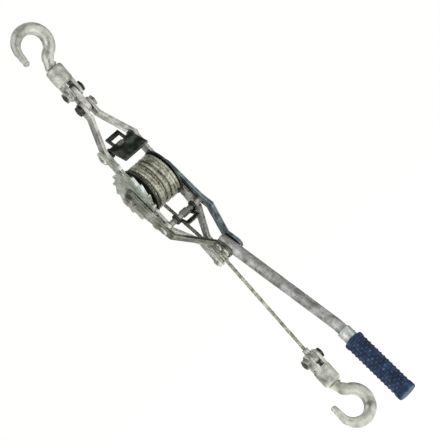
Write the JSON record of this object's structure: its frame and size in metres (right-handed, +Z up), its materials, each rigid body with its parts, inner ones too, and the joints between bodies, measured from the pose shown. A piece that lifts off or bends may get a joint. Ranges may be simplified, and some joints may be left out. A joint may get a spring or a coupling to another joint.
{
  "type": "come along winch",
  "caption": "Hand-cranked cable winch hanging by its anchor hook: ratchet drum in a bent bar frame, lever handle with grip, wire rope and swivel hooks.",
  "frame": {"origin": "middle of the anchor hook's saddle, where the ring or bar that holds the winch sits", "axes": "+Z up along the winch, away from the load hook; +X along the drum axle; -Y towards the handle"},
  "size_m": [0.0812, 0.2252, 0.6759],
  "materials": {
    "forged_zinc": "zinc-plated forging",
    "plated_bar": "zinc-plated flat bar",
    "near_arm_steel": "zinc-plated flat bar, greasy",
    "far_arm_steel": "zinc-plated flat bar",
    "wheel_steel": "stamped steel, zinc plated",
    "drum_steel": "stamped steel",
    "dark_plate": "black oxide, oiled",
    "dark_bolt": "black oxide",
    "plated_fastener": "zinc plated",
    "spring_wire": "spring steel wire",
    "roller_steel": "turned steel",
    "wire_rope": "galvanised wire rope, greased",
    "ferrule": "swaged steel",
    "tube_steel": "zinc-plated tube",
    "collar_zinc": "bright plated",
    "blue_grip": "moulded vinyl"
  },
  "bodies": {
    "anchor_hook": {"anchor_hook": "forged_zinc", "anchor_hook_nut": "forged_zinc"},
    "anchor_block": {"anchor_block": "forged_zinc", "anchor_block_bolt": "dark_bolt", "anchor_block_nut": "plated_fastener"},
    "anchor_link": {"anchor_link": "plated_bar"},
    "frame": {"frame_bar_right": "plated_bar", "frame_bar_left": "plated_bar", "apex_bolt": "dark_bolt", "apex_nut": "plated_fastener", "nose_rivet": "plated_fastener", "cable_lead": "wire_rope", "cable_free": "wire_rope"},
    "guide_roller": {"guide_roller": "roller_steel"},
    "drum": {"drum_hub": "drum_steel", "drum_barrel": "drum_steel", "drum_flange_right": "drum_steel", "drum_flange_left": "drum_steel", "drum_rivets": "plated_fastener", "ratchet_wheel": "wheel_steel", "hub_washer": "plated_fastener", "cable_winding": "wire_rope"},
    "holding_pawl": {"holding_pawl": "wheel_steel", "holding_pawl_shaft": "plated_fastener", "holding_release_plate": "dark_plate", "holding_pawl_spacer": "plated_fastener", "holding_pawl_spring": "spring_wire"},
    "handle": {"yoke_arm_right": "far_arm_steel", "yoke_arm_left": "near_arm_steel", "yoke_rivets": "plated_fastener", "axle_bolt": "plated_fastener", "axle_nut": "plated_fastener", "axle_washers": "plated_fastener", "handle_tube": "tube_steel", "handle_collar": "collar_zinc", "handle_grip": "blue_grip"},
    "drive_pawl": {"drive_pawl": "wheel_steel", "drive_pawl_shaft": "plated_fastener", "drive_release_plate": "dark_plate", "drive_pawl_washer": "plated_fastener", "drive_pawl_spring": "spring_wire"},
    "cable_end": {"cable_terminal": "ferrule"},
    "load_block": {"load_block": "forged_zinc", "load_block_bolt": "dark_bolt", "load_block_nut": "plated_fastener"},
    "load_hook": {"load_hook": "forged_zinc", "load_hook_nut": "forged_zinc"}
  },
  "joints": [
    {"name": "anchor_hook_swivel", "type": "hinge", "parent": "anchor_hook", "child": "anchor_block", "pos_m": [0, 0, -0.038], "axis": [0, 0, 1], "continuous": true},
    {"name": "anchor_block_pivot", "type": "hinge", "parent": "anchor_block", "child": "anchor_link", "pos_m": [0, 0, -0.079], "axis": [1, 0, 0], "range_deg": [-50, 50]},
    {"name": "frame_pivot", "type": "hinge", "parent": "anchor_link", "child": "frame", "pos_m": [0, 0, -0.103], "axis": [1, 0, 0], "range_deg": [-50, 50]},
    {"name": "drum_spin", "type": "hinge", "parent": "frame", "child": "drum", "pos_m": [0, 0, -0.231], "axis": [1, 0, 0], "range_deg": [0, 216]},
    {"name": "cable_pull", "type": "slide", "parent": "frame", "child": "cable_end", "axis": [0, 0, 1], "range_m": [0, 0.1133], "deforming": ["cable_free"]},
    {"name": "guide_roller_spin", "type": "hinge", "parent": "frame", "child": "guide_roller", "pos_m": [0, -0.004, -0.362], "axis": [-1, 0, 0], "range_deg": [0, 760]},
    {"name": "handle_swing", "type": "hinge", "parent": "frame", "child": "handle", "pos_m": [0, 0, -0.231], "axis": [-1, 0, 0], "range_deg": [0, 96]},
    {"name": "drive_pawl_swing", "type": "hinge", "parent": "handle", "child": "drive_pawl", "pos_m": [0, -0.01403, -0.28728], "axis": [1, 0, 0], "range_deg": [0, 15]},
    {"name": "holding_pawl_swing", "type": "hinge", "parent": "frame", "child": "holding_pawl", "pos_m": [0, -0.003, -0.169], "axis": [1, 0, 0], "range_deg": [0, 18]},
    {"name": "load_block_pivot", "type": "hinge", "parent": "cable_end", "child": "load_block", "pos_m": [0, -0.0126, -0.534], "axis": [1, 0, 0], "range_deg": [-35, 35]},
    {"name": "load_hook_swivel", "type": "hinge", "parent": "load_block", "child": "load_hook", "pos_m": [0, -0.0126, -0.575], "axis": [0, 0, 1], "continuous": true}
  ],
  "couplings": [
    {"joint": "cable_pull", "follows": "drum_spin", "m_per_rad": 0.03},
    {"joint": "guide_roller_spin", "follows": "drum_spin", "ratio": 3.4884}
  ]
}
